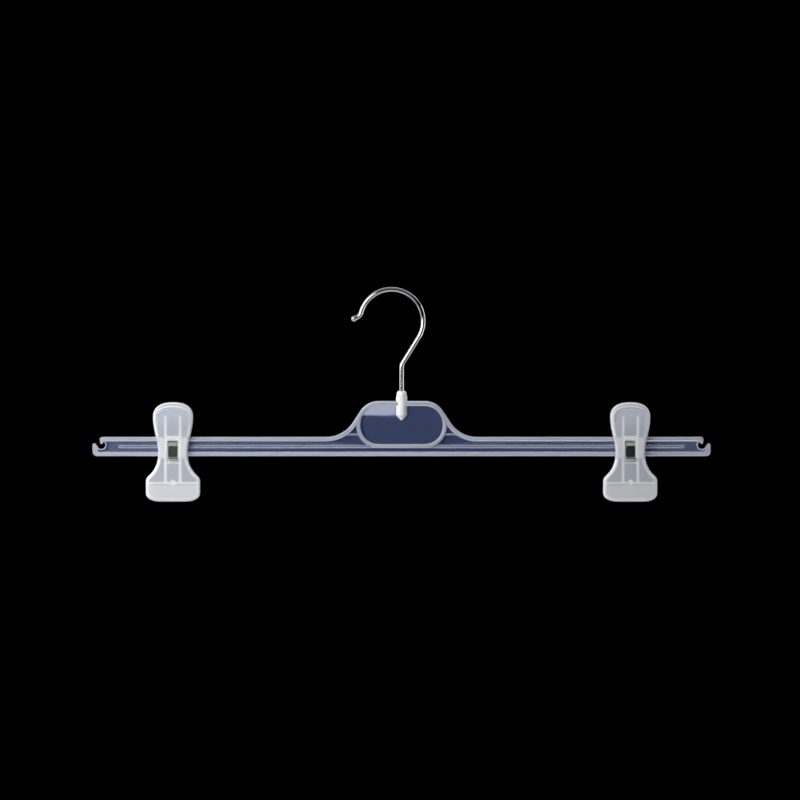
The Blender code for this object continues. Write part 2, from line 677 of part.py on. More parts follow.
def strip_cuts():
    """The window for the spring's leg, the seat for its rolled end and the gate mark."""
    width = STRIP_WIDTH + 2 * SEAT_GAP
    middle = -(SLOT_TOP_DROP + SLOT_BOTTOM_DROP) / 2
    height = SLOT_BOTTOM_DROP - SLOT_TOP_DROP
    slot_shape = rounded_rectangle((0, middle), width, height, SLOT_CORNER_RADIUS)
    front = -FACE_DEPTH - HANDLE_SPREAD
    slot = flat_solid("slot", [slot_shape], -front, FRONT_PLANE, (0, front / 2 - CHANNEL_DEPTH, 0))
    seat_floor = STRIP_FACE_DEPTH - STRIP_THICKNESS / 2 - SEAT_GAP
    seat_shape = rounded_rectangle((0, -SEAT_DROP), SEAT_WIDTH, SEAT_HEIGHT, SEAT_CORNER_RADIUS)
    seat_y = -seat_floor - CUT_OVERRUN / 2
    seat = flat_solid("seat", [seat_shape], CUT_OVERRUN, FRONT_PLANE, (0, seat_y, 0))
    mark_y = -FACE_DEPTH + GATE_MARK_DEPTH - CUT_OVERRUN / 2
    turn = Matrix.Rotation(math.pi / 2, 4, "X")
    centre = (0, mark_y, -GATE_MARK_DROP)
    mark = rod_solid("gate_mark", GATE_MARK_DIAMETER / 2, CUT_OVERRUN, centre, turn)
    return [slot, seat, mark]


def shell_template():
    """One clip half about its hinge axis. Both halves of both clips are this moulding."""
    shell = shell_blank()
    combine(shell, [shell_cavity(), parting_cutter()], "DIFFERENCE")
    added, socket = knuckle_parts()
    combine(shell, added, "UNION")
    combine(shell, [socket, *strip_cuts()], "DIFFERENCE")
    return shell


def strip_path():
    """The spring's centre line (y, z) from the roll on the front to the top of its arch."""
    shoulder = ARCH_RADIUS + ARCH_LEG_SPREAD
    roll = (-STRIP_FACE_DEPTH - ROLL_RADIUS, -ROLL_DROP)
    path = arc(roll, ROLL_RADIUS, -ROLL_TURN, 0, 2 * ARC_STEP)
    knee, bend = (-STRIP_FACE_DEPTH, -STRIP_KNEE_DROP), (-shoulder, -STRIP_BEND_DROP)
    lean = math.atan2(knee[0] - bend[0], knee[1] - bend[1]) + math.pi
    tangent = STRIP_BEND_RADIUS * math.tan(lean / 2)
    knee_centre = (knee[0] + STRIP_BEND_RADIUS, knee[1] - tangent)
    path += arc(knee_centre, STRIP_BEND_RADIUS, math.pi, math.pi - lean, 2 * ARC_STEP)
    bend_centre = (bend[0] - STRIP_BEND_RADIUS, bend[1] + tangent)
    path += arc(bend_centre, STRIP_BEND_RADIUS, -lean, 0, 2 * ARC_STEP)
    path += arc((0, ARCH_RISE), ARCH_RADIUS, math.pi, math.pi / 2)
    return path


def strip_template():
    """The spring: a bent ribbon, thickened."""
    front = strip_path()
    path = front + [(-y, z) for y, z in reversed(front[:-1])]
    work = bmesh.new()
    rows = []
    for y, z in path:
        rows.append([work.verts.new((x, y, z)) for x in (-STRIP_WIDTH / 2, STRIP_WIDTH / 2)])
    for (a, b), (c, d) in zip(rows, rows[1:]):
        work.faces.new((a, b, d, c))
    mesh = bpy.data.meshes.new("ribbon")
    work.to_mesh(mesh)
    work.free()
    ribbon = place(mesh, "ribbon", CUTTERS)
    thick = ribbon.modifiers.new("thickness", "SOLIDIFY")
    thick.thickness = STRIP_THICKNESS
    thick.offset = 0
    thick.use_even_offset = True
    return ribbon


def pad_template():
    """A soft pad that fills the jaw under the shelf, with grip grooves across its face."""
    top = -SHELF_DROP - SHELF_THICKNESS - SEAT_GAP
    lowered = [p for p in moved_in(shell_half_outline(), SHELL_WALL + SEAT_GAP) if p[1] < top]
    side = JAW_WIDTH / 2 - SHELL_WALL - SEAT_GAP
    shape = mirrored([(side, top)] + lowered)
    back = FACE_DEPTH - SHELL_FACE - SEAT_GAP
    depth = back - PAD_FACE_DEPTH
    middle = -(back + PAD_FACE_DEPTH) / 2
    pad = flat_solid("pad", [shape], depth, FRONT_PLANE, (0, middle, 0))
    height = top - lowered[-1][1]
    grooves = []
    for i in range(PAD_GROOVES):
        centre = top - height * (i + 1) / (PAD_GROOVES + 1)
        low = (-JAW_WIDTH / 2, -PAD_FACE_DEPTH - PAD_GROOVE_DEPTH, centre - PAD_GROOVE_WIDTH / 2)
        high = (JAW_WIDTH / 2, CUT_OVERRUN, centre + PAD_GROOVE_WIDTH / 2)
        grooves.append(box_solid("groove", low, high))
    combine(pad, grooves, "DIFFERENCE")
    return pad


def make_clip(side_name, side, templates, materials, shared):
    """Two clip halves with their pads about one hinge axis, and the spring between them."""
    hinge = bpy.data.objects.new(side_name + "_clip_hinge", None)
    PARTS.objects.link(hinge)
    hinge.location = (side * (HALF_LENGTH - CLIP_INSET), 0, HINGE_RISE - BAR_DROP)
    about_face = (0, 0, math.pi)
    pieces = (("front_shell", "shell", None), ("rear_shell", "shell", about_face))
    pieces += (("spring", "spring", None),)
    pieces += (("front_pad", "pad", None), ("rear_pad", "pad", about_face))
    for name, kind, rotation in pieces:
        part = finish(
            templates[kind],
            side_name + "_" + name,
            materials[kind],
            (0, 0, 0),
            rotation,
            hinge,
            shared.get(kind),
        )
        shared[kind] = part.data


clear_scene()
PARTS = new_collection("clip_hanger")
CUTTERS = new_collection("cutters")
clear_styrene = plastic_or_metal("clear_styrene", (0.86, 0.87, 0.96), 0.06, transmission=0.9)
natural_nylon = plastic_or_metal("natural_nylon", (0.88, 0.87, 0.84), 0.35)
polished_steel = plastic_or_metal("polished_steel", (0.80, 0.80, 0.81), 0.12, metallic=1.0)
clip_materials = {
    "shell": plastic_or_metal("frosted_propylene", (0.78, 0.81, 0.85), 0.45, transmission=0.5),
    "spring": plastic_or_metal("spring_steel", (0.20, 0.20, 0.21), 0.30, metallic=1.0),
    "pad": plastic_or_metal("soft_pad", (0.70, 0.70, 0.69), 0.60),
}
make_body(clear_styrene)
make_bush(natural_nylon)
make_hook(polished_steel)
clip_templates = {"shell": shell_template(), "spring": strip_template(), "pad": pad_template()}
shared_meshes = {}
for clip_name, clip_side in (("left", -1), ("right", 1)):
    make_clip(clip_name, clip_side, clip_templates, clip_materials, shared_meshes)
for guide_object in CUTTERS.objects:
    guide_object.hide_render = True
    guide_object.display_type = "WIRE"
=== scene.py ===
"""The clear clip hanger in studio light: finer forms, materials, lights, floor and camera.

Metres, +Z up, the front of the hanger faces -Y. The origin is where a rail carries the hook.
"""
import math

import bmesh
import bpy
import numpy as np
from mathutils import Matrix, Vector
from mathutils.bvhtree import BVHTree


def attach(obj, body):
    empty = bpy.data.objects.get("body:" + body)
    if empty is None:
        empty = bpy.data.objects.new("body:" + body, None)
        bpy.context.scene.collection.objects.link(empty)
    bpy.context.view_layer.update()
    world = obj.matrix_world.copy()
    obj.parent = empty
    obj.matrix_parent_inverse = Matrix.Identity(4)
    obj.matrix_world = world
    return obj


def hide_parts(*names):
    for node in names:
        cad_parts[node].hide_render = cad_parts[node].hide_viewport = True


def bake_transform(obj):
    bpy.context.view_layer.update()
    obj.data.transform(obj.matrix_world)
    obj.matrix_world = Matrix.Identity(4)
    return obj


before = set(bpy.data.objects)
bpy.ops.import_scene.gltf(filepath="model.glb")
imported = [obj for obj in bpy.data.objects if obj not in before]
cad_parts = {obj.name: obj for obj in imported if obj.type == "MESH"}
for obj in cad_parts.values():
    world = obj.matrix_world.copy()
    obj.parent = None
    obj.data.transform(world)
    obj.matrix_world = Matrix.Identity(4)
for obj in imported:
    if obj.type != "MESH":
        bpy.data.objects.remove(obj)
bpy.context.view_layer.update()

QUARTER = math.pi / 2
MERGE_DISTANCE, ON_AXIS = 1e-6, 1e-7

# Keeps faces that would meet from lying exactly on each other
HOLD = 0.00003

# Bar of the moulding and the notch in each end, as in the solids
HALF_LENGTH, HALF_HEIGHT, BAR_DROP = 0.200, 0.0062, 0.0992
RAIL_WIDTH, RAIL_DEPTH, WEB_DEPTH = 0.0025, 0.0050, 0.0016
SPINE_LENGTH, SPINE_WIDTH, SPINE_DEPTH = 0.3666, 0.0019, 0.0032
NOTCH, NOTCH_RADIUS, NOTCH_RIM = (HALF_LENGTH - 0.0056, 0.00097), 0.0026, 0.00065
LOWER_LIP, LOWER_LIP_RADIUS = (HALF_LENGTH - 0.00115, 0.00079), 0.00115
LOWER_CORNER_RADIUS, LOWER_LIP_WIDTH, POCKET_CORNER_RADIUS = 0.0029, 0.0033, 0.0010
UPPER_LIP, UPPER_LIP_RADIUS = (HALF_LENGTH - 0.00575, 0.00235), 0.00075
UPPER_CORNER, UPPER_CORNER_RADIUS = (HALF_LENGTH - 0.0065, HALF_HEIGHT - 0.0019), 0.0019
NOTCH_LAST_ANGLE, UPPER_LIP_FIRST_ANGLE = math.radians(125), math.radians(200)

# Raised plate, ring, braces and boss
PLATE_RISE, PLATE_CORNER_OFFSET, PLATE_CORNER_RADIUS = 0.0294, 0.0150, 0.0140
SHOULDER_SLOPE, SHOULDER_FOOT_RADIUS = math.radians(57), 0.0203
WINDOW_WIDTH, WINDOW_HEIGHT, WINDOW_RISE, WINDOW_RADIUS = 0.0533, 0.0246, 0.0139, 0.0118
RING_WALL, RING_DEPTH = 0.0027, 0.0056
BRACE_RISE, BRACE_WIDTH, BRACE_DEPTH = 0.0078, 0.0013, 0.0036
BOSS_RADIUS, BOSS_TOP, BOSS_CONE, BOSS_TIP = 0.00365, 0.0327, 0.0201, 0.0162
BOSS_STEP, BOSS_STEP_RISE = 0.0002, 0.0006
BOSS_NOSE_RADIUS, BOSS_NOSE_RISE = 0.0007, 0.0006
BOSS_POINT_RADIUS, BOSS_POINT_RISE = 0.0003, 0.0001
BORE_RADIUS, BORE_END, BORE_OVERRUN, BORE_POINT = 0.0028, 0.0206, 0.002, 0.0003

# Bush and wire hook
BUSH_TOP, BUSH_END, BUSH_DOME, BUSH_RIM = 0.0329, 0.0226, 0.0030, 0.0033
SLEEVE_RADIUS, STEM_BORE, NECK_RADIUS = 0.0026, 0.00165, 0.00195
WIRE_RADIUS, HOOK_RADIUS, HOOK_OFFSET = 0.0014, 0.0205, 0.0065
HOOK_NOSE_ANGLE, HOOK_HEEL_ANGLE = math.radians(165.5), math.radians(31.8)
BEND_RADIUS, NOSE_TURN, NOSE_LENGTH = 0.0040, math.radians(50), 0.0026
BALL_RADIUS, HEAD_RADIUS, HEAD_HEIGHT, HEAD_GAP = 0.00175, 0.0021, 0.0012, 0.0003

# Clips about their hinge line, as in the solids, and the fineness of the moulded pieces
CLIP_X, HINGE_Z = 0.148, -0.0900
HANDLE_WIDTH, HANDLE_RISE, HANDLE_WIDEST_RISE, HANDLE_ROUNDNESS = 0.0256, 0.0194, 0.0096, 2.4
FACE_DEPTH, SHELL_FACE = 0.0064, 0.0018
SLOT_WIDTH, SLOT_TOP, SLOT_BOTTOM, SEAT_BOTTOM = 0.0066, -0.0044, -0.0152, -0.0199
PAD_TOP, GATE_MARK_Z, GATE_MARK_RADIUS = -0.0340, -0.0323, 0.0017
SHELL_VOXEL, PAD_VOXEL, SOFTENING_PASSES = 0.00034, 0.00042, 3

# Finer forms that only the dressed pieces have
RAIL_EDGE, POCKET_EDGE, POCKET_FILLET, SPINE_EDGE = 0.0007, 0.0006, 0.0005, 0.0004
RING_EDGE, BRACE_EDGE, BOSS_EDGE, HEAD_EDGE, STRIP_EDGE = 0.0009, 0.0005, 0.0005, 0.0003, 0.00008
EDGE_STEPS, POCKET_STEPS, RIM_STEPS, POCKET_EDGE_TURN = 6, 5, 24, math.radians(80)
SLOT_LIP, SLOT_FRAME = 0.0011, 0.0019
RIDGE_HEIGHT, RIDGE_WIDTH, RIDGE_START = 0.0005, 0.0012, 0.003
RIDGE_INSETS = ((0.0004, 0.0007), (0.0018, 0.0030), (0.0028, 0.0047))

# Shares of an inset by which the notch's small lips and its rim move
LIP_MOVE, RIM_MOVE = 0.4, 0.3

# Haze of the plastic, from 0 to 1 as its thickness, and where it grows or fades, with a painted
# highlight and painted shade among them
WEB_HAZE, WEB_HAZE_GAIN, WEB_HAZE_START, WEB_HAZE_END = 0.29, 0.09, 0.035, 0.080
# The middle value is a painted highlight: the rim of the spring's slot and the gate mark are made
# whiter than their plastic
PAD_HAZE, RIM_PAINTED_HIGHLIGHT, WAIST_HAZE = 0.62, 0.9, 0.65
WAIST_TOP_START, WAIST_TOP_END = 0.0005, 0.0045
# The first value is painted shade: the grooves between the grip's ridges are made clearer than
# their plastic, up to the second value's height
GROOVE_PAINTED_SHADE, GROOVE_END = 0.5, 0.014

# Rays that measure the thickness: their length, where they start, how they spread
RAY_REACH, RAY_START, RAY_SPREAD, SIDE_WALL_SLOPE = 0.006, 0.00005, (0.000013, 0, 0.000017), 0.3

# The photograph's frame at the hanger's middle plane, and the studio's floor
PHOTO_PIXELS, METRES_PER_PIXEL = 800, 0.0006476
CAMERA_LENS, CAMERA_X, CAMERA_Z = 350, -0.00104, -0.0691
FLOOR_RADIUS, FLOOR_Z = 3, -1.0


def arc(centre, radius, first, last, step=math.radians(5)):
    count = max(2, math.ceil(abs(last - first) / step - 0.001))
    angles = [first + (last - first) * i / count for i in range(count + 1)]
    return [(centre[0] + radius * math.cos(a), centre[1] + radius * math.sin(a)) for a in angles]


def mirrored(half):
    return half + [(-x, y) for x, y in reversed(half) if x > ON_AXIS]


def rounded_rectangle(centre, width, height, radius):
    x, y = width / 2 - radius, height / 2 - radius
    corners = ((x, -y, -QUARTER), (x, y, 0), (-x, y, QUARTER), (-x, -y, 2 * QUARTER))
    points = []
    for dx, dy, first in corners:
        points += arc((centre[0] + dx, centre[1] + dy), radius, first, first + QUARTER)
    return points


def shoulder_arcs():
    corner = (PLATE_CORNER_OFFSET, PLATE_RISE - PLATE_CORNER_RADIUS)
    sine, cosine = math.sin(SHOULDER_SLOPE), math.cos(SHOULDER_SLOPE)
    leave_x = corner[0] + PLATE_CORNER_RADIUS * sine
    leave_z = corner[1] + PLATE_CORNER_RADIUS * cosine
    fall = leave_z - HALF_HEIGHT - SHOULDER_FOOT_RADIUS * (1 - cosine)
    foot_x = leave_x + fall * cosine / sine + SHOULDER_FOOT_RADIUS * sine
    return corner, (foot_x, HALF_HEIGHT + SHOULDER_FOOT_RADIUS)


def shoulder_line(inset):
    corner, foot = shoulder_arcs()
    rise = arc(foot, SHOULDER_FOOT_RADIUS + inset, -QUARTER, -QUARTER - SHOULDER_SLOPE)
    return rise + arc(corner, PLATE_CORNER_RADIUS - inset, QUARTER - SHOULDER_SLOPE, QUARTER)


def body_outline(inset):
    """The moulding from the front, moved into the plastic by an inset, with gentler moves at the
    small lips of the notch."""
    small = inset * LIP_MOVE
    reach = math.dist(LOWER_LIP, NOTCH)
    lean = math.atan2(NOTCH[1] - LOWER_LIP[1], NOTCH[0] - LOWER_LIP[0])
    leave = lean - math.acos((LOWER_LIP_RADIUS + NOTCH_RADIUS) / reach)
    low = (HALF_LENGTH - LOWER_CORNER_RADIUS, LOWER_CORNER_RADIUS - HALF_HEIGHT)
    half = arc(low, LOWER_CORNER_RADIUS - inset, -QUARTER, 0)
    half += arc(LOWER_LIP, LOWER_LIP_RADIUS - small, 0, leave)
    half += arc(NOTCH, NOTCH_RADIUS + small, leave - math.pi, NOTCH_LAST_ANGLE - 2 * math.pi)
    half += arc(UPPER_LIP, UPPER_LIP_RADIUS - small, UPPER_LIP_FIRST_ANGLE, 2 * math.pi)
    half += arc(UPPER_CORNER, UPPER_CORNER_RADIUS - inset, 0, QUARTER)
    return mirrored(half + shoulder_line(inset))


def pocket_outline(growth):
    """The pocket inside the rails, grown by a length."""
    rim = NOTCH_RADIUS + NOTCH_RIM - growth * RIM_MOVE
    end_x = HALF_LENGTH - LOWER_LIP_WIDTH + growth * LIP_MOVE
    radius = POCKET_CORNER_RADIUS + growth * LIP_MOVE
    corner = (end_x - radius, RAIL_WIDTH - HALF_HEIGHT - growth + radius)
    half = arc(corner, radius, -QUARTER, 0)
    first = -math.acos((end_x - NOTCH[0]) / rim)
    top = HALF_HEIGHT - RAIL_WIDTH + growth - NOTCH[1]
    last = -math.pi - math.asin(min(1, top / rim))
    for i in range(RIM_STEPS + 1):
        a = first + (last - first) * i / RIM_STEPS
        half.append((NOTCH[0] + rim * math.cos(a), NOTCH[1] + rim * math.sin(a)))
    return mirrored(half + shoulder_line(RAIL_WIDTH - growth))


def neighbours(rows, closed):
    """Each row with the one after it, and in a closed form the last with the first."""
    return list(zip(rows, rows[1:])) + ([(rows[-1], rows[0])] if closed else [])


def loft(name, rings, closed=False):
    """A solid through loops (x, z) of equal count, each at a depth y."""
    work = bmesh.new()
    rows = [[work.verts.new((x, depth, z)) for x, z in loop] for loop, depth in rings]
    for row, following in neighbours(rows, closed):
        for i, corner in enumerate(row):
            j = (i + 1) % len(row)
            work.faces.new((corner, row[j], following[j], following[i]))
    if not closed:
        work.faces.new(rows[0])
        work.faces.new(rows[-1])
    bmesh.ops.recalc_face_normals(work, faces=work.faces)
    return made(name, work)


def made(name, work):
    mesh = bpy.data.meshes.new(name)
    work.to_mesh(mesh)
    work.free()
    thing = bpy.data.objects.new(name, mesh)
    bpy.context.scene.collection.objects.link(thing)
    return thing


def slab(name, outline, depth, edge):
    """A flat form whose front and back edges are rounded."""
    profile = [(edge + HOLD, -depth / 2)]
    for i in range(EDGE_STEPS + 1):
        a = QUARTER * i / EDGE_STEPS
        profile.append((edge * (1 - math.sin(a)), edge * (1 - math.cos(a)) - depth / 2))
    profile += [(inset, -y) for inset, y in reversed(profile)]
    return loft(name, [(outline(inset), y) for inset, y in profile])


def pocket(side):
    """The hollow beside the web on one side, with a filleted floor and rounded upper edges."""
    profile = [(-POCKET_FILLET - HOLD, WEB_DEPTH / 2)]
    for i in range(POCKET_STEPS + 1):
        a = QUARTER * i / POCKET_STEPS
        y = WEB_DEPTH / 2 + POCKET_FILLET * (1 - math.cos(a))
        profile.append((POCKET_FILLET * (math.sin(a) - 1), y))
    for i in range(POCKET_STEPS + 1):
        a = POCKET_EDGE_TURN * i / POCKET_STEPS
        y = RAIL_DEPTH / 2 - POCKET_EDGE * (1 - math.sin(a))
        profile.append((POCKET_EDGE * (1 - math.cos(a)), y))
    profile.append((profile[-1][0], RAIL_DEPTH))
    return loft("pocket", [(pocket_outline(growth), side * y) for growth, y in profile])


def turned(name, profile, closed=False, segments=64):
    """A solid of revolution about Z from a profile (radius, height)."""
    work = bmesh.new()
    rows = []
    for radius, height in profile:
        if radius < ON_AXIS:
            rows.append([work.verts.new((0, 0, height))] * segments)
            continue
        row = []
        for i in range(segments):
            a = 2 * math.pi * i / segments
            row.append(work.verts.new((radius * math.cos(a), radius * math.sin(a), height)))
        rows.append(row)
    for row, following in neighbours(rows, closed):
        for i in range(segments):
            j = (i + 1) % segments
            ring = []
            for corner in (row[i], row[j], following[j], following[i]):
                if corner not in ring:
                    ring.append(corner)
            work.faces.new(ring)
    bmesh.ops.recalc_face_normals(work, faces=work.faces)
    return made(name, work)


def combine(base, others, operation):
    """Applies the booleans to the base and takes the others away."""
    for other in others:
        step = base.modifiers.new(other.name, "BOOLEAN")
        step.operation = operation
        step.solver = "MANIFOLD"
        step.object = other
    apply_modifiers(base)
    for other in others:
        bpy.data.objects.remove(other)


def apply_modifiers(thing):
    graph = bpy.context.evaluated_depsgraph_get()
    mesh = bpy.data.meshes.new_from_object(thing.evaluated_get(graph))
    thing.modifiers.clear()
    thing.data = mesh


def smooth(thing, angle=30):
    """Smooth shading that leaves the broad faces flat up to their rounded edges."""
    thing.data.shade_smooth()
    thing.data.set_sharp_from_angle(angle=math.radians(angle))
    flat = thing.modifiers.new("flat", "WEIGHTED_NORMAL")
    flat.keep_sharp = True
    apply_modifiers(thing)


def dress(thing, material, slot, body, *nodes):
    """Gives a piece its material and body, and lets it stand for its solids."""
    thing.data.materials.clear()
    thing.data.materials.append(material)
    if nodes:
        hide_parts(*nodes)
    if body:
        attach(thing, body)
    return thing


# Materials


class Graph:
    """A material's nodes, made and joined in short calls."""

    def __init__(self, name):
        self.material = bpy.data.materials.new(name)
        self.material.use_nodes = True
        self.tree = self.material.node_tree
        self.shader = self.tree.nodes["Principled BSDF"]
        place = self.tree.nodes.new("ShaderNodeTexCoord")
        self.place = place.outputs["Object"]

    def set(self, **values):
        for name, value in values.items():
            self.shader.inputs[name.replace("_", " ")].default_value = value

    def join(self, source, target):
        self.tree.links.new(source, target)

    def noise(self, scale, detail=3, stretch=(1, 1, 1), rough=0.5):
        spread = self.tree.nodes.new("ShaderNodeMapping")
        spread.inputs["Scale"].default_value = stretch
        self.join(self.place, spread.inputs["Vector"])
        noise = self.tree.nodes.new("ShaderNodeTexNoise")
        noise.inputs["Scale"].default_value = scale
        noise.inputs["Detail"].default_value = detail
        noise.inputs["Roughness"].default_value = rough
        self.join(spread.outputs[0], noise.inputs["Vector"])
        return noise.outputs["Fac"]

    def attribute(self, name):
        node = self.tree.nodes.new("ShaderNodeAttribute")
        node.attribute_name = name
        return node.outputs["Fac"]

    def span(self, source, low, high, start=0.3, end=0.7):
        node = self.tree.nodes.new("ShaderNodeMapRange")
        limits = {"From Min": start, "From Max": end, "To Min": low, "To Max": high}
        for name, value in limits.items():
            node.inputs[name].default_value = value
        self.join(source, node.inputs["Value"])
        return node.outputs["Result"]

    def colours(self, source, *stops):
        node = self.tree.nodes.new("ShaderNodeValToRGB")
        ramp = node.color_ramp
        while len(ramp.elements) < len(stops):
            ramp.elements.new(0.5)
        for element, (place, colour) in zip(ramp.elements, stops):
            element.position = place
            element.color = (*colour, 1)
        self.join(source, node.inputs["Fac"])
        return node.outputs["Color"]

    def times(self, first, second):
        node = self.tree.nodes.new("ShaderNodeMath")
        node.operation = "MULTIPLY"
        self.join(first, node.inputs[0])
        self.join(second, node.inputs[1])
        return node.outputs[0]

    def bump(self, source, distance, strength=1.0):
        node = self.tree.nodes.new("ShaderNodeBump")
        node.inputs["Distance"].default_value = distance
        node.inputs["Strength"].default_value = strength
        self.join(source, node.inputs["Height"])
        return node.outputs["Normal"]

    def use(self, **sources):
        for name, source in sources.items():
            self.join(source, self.shader.inputs[name.replace("_", " ")])
        return self.material


def clear_styrene():
    """Clear where it is thin, hazier and paler with the depth of plastic behind the face, and
    white at the boss, partly as painted light.
    """
    g = Graph("clear_styrene")
    g.set(IOR=1.59)
    # The depth read here also carries painted light: the boss is made white, also below its white
    # bush
    depth = g.attribute("thickness")
    pale, white = (0.82, 0.85, 0.94), (0.97, 0.97, 0.97)
    tint = g.colours(depth, (0.27, (0.36, 0.48, 0.94)), (0.55, pale), (0.95, pale), (1.0, white))
    shares = (0.30, 0.90), (0.80, 0.55), (0.96, 0.62), (1.0, 0.05)
    seen = g.colours(depth, *((place, (share, share, share)) for place, share in shares))
    rough = g.times(g.span(depth, 0.01, 0.08, 0.3, 0.7), g.span(g.noise(700, 3), 0.6, 1.0))
    waves = g.noise(40, 1, (0.3, 1, 1))
    return g.use(
        Base_Color=tint, Transmission_Weight=seen, Roughness=rough, Normal=g.bump(waves, 0.000002)
    )


def frosted_propylene():
    """Milky, and whiter where a wall or rib stands behind the face, with a painted highlight at
    the slot's rim and gate mark and painted shade in the grip's grooves.
    """
    g = Graph("frosted_propylene")
    g.set(IOR=1.49, Subsurface_Weight=0.4, Subsurface_Scale=0.0012)
    g.shader.inputs["Subsurface Radius"].default_value = (1.0, 1.0, 1.0)
    # The depth read here also carries a painted highlight round the slot and on the gate mark, and
    # painted shade in the grooves
    depth = g.attribute("thickness")
    tint = g.colours(depth, (0.3, (0.82, 0.86, 0.96)), (0.8, (0.92, 0.94, 0.97)))
    seen = g.span(depth, 0.52, 0.16, 0.3, 0.8)
    rough = g.span(g.noise(500, 1), 0.22, 0.27, 0.2, 0.8)
    grain = g.bump(g.noise(2600, 2), 0.000008, 0.5)
    return g.use(Base_Color=tint, Transmission_Weight=seen, Roughness=rough, Normal=grain)


def natural_nylon():
    g = Graph("natural_nylon")
    g.set(IOR=1.53, Subsurface_Weight=0.3, Subsurface_Scale=0.002)
    tint = g.colours(g.noise(300, 3), (0.3, (0.90, 0.90, 0.89)), (0.7, (0.95, 0.95, 0.94)))
    rough = g.span(g.noise(900, 3), 0.32, 0.45)
    return g.use(Base_Color=tint, Roughness=rough, Normal=g.bump(g.noise(2500, 2), 0.00002, 0.4))


def polished_steel():
    g = Graph("polished_steel")
    g.set(Metallic=1.0)
    tint = g.colours(g.noise(250, 4), (0.3, (0.54, 0.54, 0.55)), (0.7, (0.62, 0.62, 0.63)))
    rough = g.span(g.noise(1500, 4, (1, 1, 0.3)), 0.06, 0.16)
    return g.use(Base_Color=tint, Roughness=rough, Normal=g.bump(g.noise(700, 3), 0.00001, 0.3))


def spring_steel():
    g = Graph("spring_steel")
    g.set(Metallic=1.0)
    across = (0.1, 1, 1)
    tint = g.colours(g.noise(900, 4, across), (0.3, (0.60, 0.60, 0.60)), (0.7, (0.70, 0.70, 0.70)))
    rough = g.span(g.noise(1200, 3, across), 0.18, 0.25)
    grain = g.bump(g.noise(2000, 2, across), 0.00001, 0.4)
    return g.use(Base_Color=tint, Roughness=rough, Normal=grain)


def soft_pad():
    g = Graph("soft_pad")
    g.set(IOR=1.5, Subsurface_Weight=0.4, Subsurface_Scale=0.002)
    tint = g.colours(g.noise(350, 3), (0.3, (0.66, 0.67, 0.68)), (0.7, (0.74, 0.75, 0.75)))
    rough = g.span(g.noise(800, 3), 0.50, 0.68)
    return g.use(Base_Color=tint, Roughness=rough, Normal=g.bump(g.noise(1800, 3), 0.00006, 0.5))


# Pieces


def ease(value, start, end):
    """From 0 at the start to 1 at the end, smoothly."""
    share = min(1, max(0, (value - start) / (end - start)))
    return share * share * (3 - 2 * share)


def moulding_haze_and_painted_light(point, depth):
    """The boss is white, partly for its white bush and partly as painted light on the clear cone
    below the bush, and the web grows hazier away from the ring.
    """
    across = math.hypot(point.x, point.y)
    # Partly painted light: the whole boss is made white, also its clear cone below the white bush
    in_boss = across < BOSS_RADIUS + HOLD and point.z > BOSS_TIP - BAR_DROP - HOLD
    if in_boss and abs(point.y) > WEB_DEPTH / 2 + HOLD:
        return 1
    gain = WEB_HAZE_GAIN * ease(abs(point.x), WEB_HAZE_START, WEB_HAZE_END)
    return max(depth, WEB_HAZE + gain)


def make_moulding(material):
    """The clear body: the bar with its pockets, spine, ring, braces and bored boss."""
    body = slab("moulding", body_outline, RAIL_DEPTH, RAIL_EDGE)
    combine(body, [pocket(-1), pocket(1)], "DIFFERENCE")

    def spine_outline(inset):
        width = SPINE_WIDTH - 2 * inset
        return rounded_rectangle((0, 0), SPINE_LENGTH - 2 * inset, width, width / 2)

    section = rounded_rectangle((RING_WALL / 2, 0), RING_WALL, RING_DEPTH, RING_EDGE)
    rings = []
    for wall, y in section:
        width, height = WINDOW_WIDTH + 2 * wall, WINDOW_HEIGHT + 2 * wall
        rings.append((rounded_rectangle((0, WINDOW_RISE), width, height, WINDOW_RADIUS + wall), y))
    spine = slab("spine", spine_outline, SPINE_DEPTH, SPINE_EDGE)
    added = [spine, loft("ring", rings, closed=True)]
    foot = shoulder_arcs()[1]
    ring_radius, rail_radius = WINDOW_RADIUS + RING_WALL / 2, SHOULDER_FOOT_RADIUS + RAIL_WIDTH / 2
    ring_z = WINDOW_RISE - WINDOW_HEIGHT / 2 + WINDOW_RADIUS
    ring_x = WINDOW_WIDTH / 2 - WINDOW_RADIUS
    start = ring_x + math.sqrt(ring_radius**2 - (ring_z - BRACE_RISE) ** 2)
    end = foot[0] - math.sqrt(rail_radius**2 - (foot[1] - BRACE_RISE) ** 2)
    for side in (-1, 1):
        middle = (side * (start + end) / 2, BRACE_RISE)

        def brace_outline(inset, middle=middle):
            width = BRACE_WIDTH - 2 * inset
            return rounded_rectangle(middle, end - start, width, width / 2.05)

        added.append(slab("brace", brace_outline, BRACE_DEPTH, BRACE_EDGE))
    corner = (BOSS_RADIUS - BOSS_EDGE, BOSS_TOP - BOSS_EDGE)
    shape = [(0, BOSS_TOP)]
    shape += arc(corner, BOSS_EDGE, QUARTER, 0, math.radians(15))
    shape += [(BOSS_RADIUS, BOSS_CONE + BOSS_STEP_RISE), (BOSS_RADIUS - BOSS_STEP, BOSS_CONE)]
    shape.append((BOSS_NOSE_RADIUS, BOSS_TIP + BOSS_NOSE_RISE))
    shape += [(BOSS_POINT_RADIUS, BOSS_TIP + BOSS_POINT_RISE), (0, BOSS_TIP)]
    added.append(turned("boss", shape))
    combine(body, added, "UNION")
    above = BOSS_TOP + BORE_OVERRUN
    bore = [(0, above), (BORE_RADIUS, above), (BORE_RADIUS, BORE_END), (0, BORE_END - BORE_POINT)]
    combine(body, [turned("bore", bore)], "DIFFERENCE")
    body.data.transform(Matrix.Translation((0, 0, -BAR_DROP)))
    body.modifiers.new("triangles", "TRIANGULATE")
    smooth(body)
    add_thickness(body.data, "FACE", moulding_haze_and_painted_light)
    return dress(body, material, "clear_styrene", "hanger", "hanger_body")


